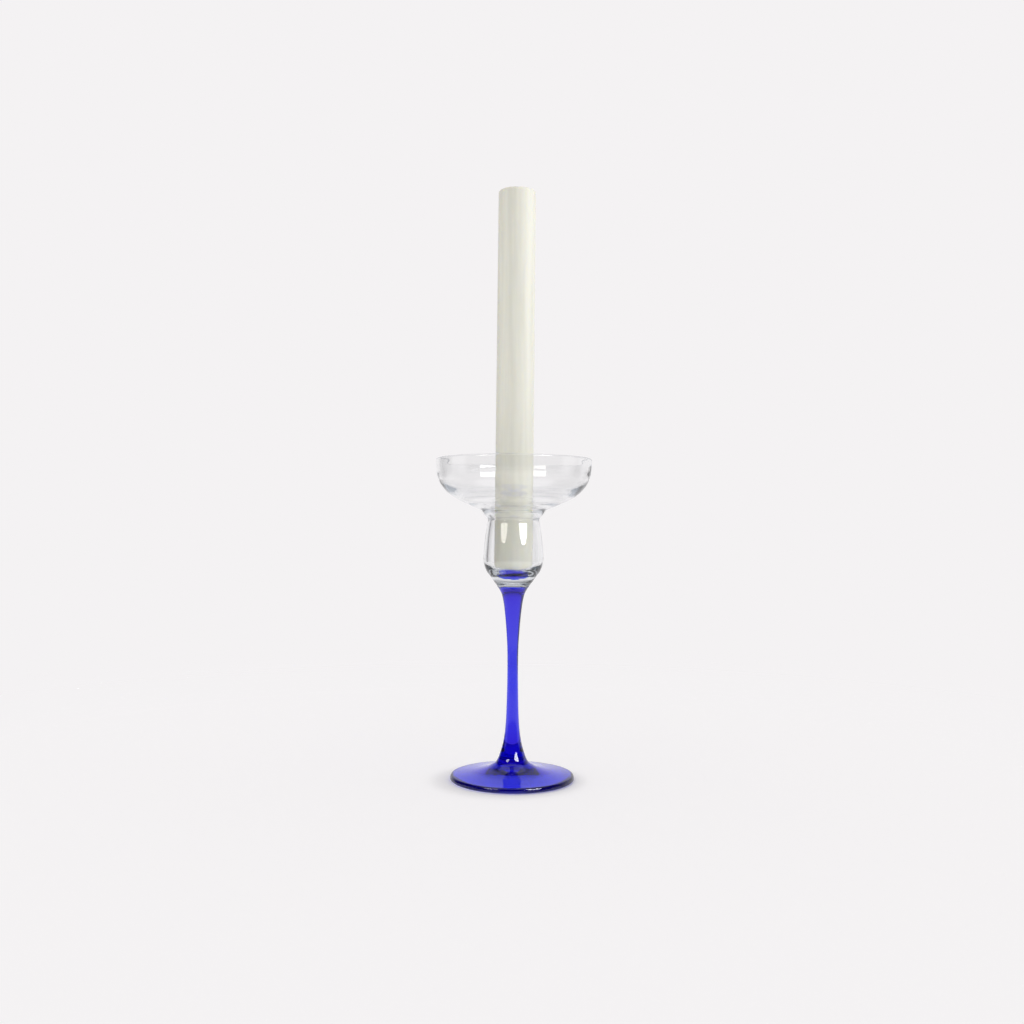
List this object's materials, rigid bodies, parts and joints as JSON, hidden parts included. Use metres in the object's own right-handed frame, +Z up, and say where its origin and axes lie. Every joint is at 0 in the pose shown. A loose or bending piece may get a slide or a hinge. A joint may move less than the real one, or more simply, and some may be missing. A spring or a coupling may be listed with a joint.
{
  "type": "glass candlestick",
  "caption": "Tall stemmed candlestick of clear and blue glass, with a drip bowl above its socket, holding a straight dinner candle.",
  "frame": {"origin": "centre of the ring that the foot rests on, on the table", "axes": "+Z up along the stem and the candle; +X and +Y are level and the part is round about +Z"},
  "size_m": [0.0936, 0.0934, 0.3553],
  "materials": {
    "blue_foot_glass": "polished",
    "blue_stem_glass": "polished",
    "clear_socket_glass": "polished",
    "clear_bowl_glass": "polished",
    "wax": "satin",
    "cotton_wick": "matte"
  },
  "bodies": {
    "candlestick": {"foot": "blue_foot_glass", "stem": "blue_stem_glass", "candle_socket": "clear_socket_glass", "drip_bowl": "clear_bowl_glass"},
    "candle": {"candle": "wax", "wick": "cotton_wick"}
  },
  "joints": [
    {"name": "candle_lift", "type": "slide", "parent": "candlestick", "child": "candle", "axis": [0, 0, 1], "range_m": [0, 0.08]}
  ]
}
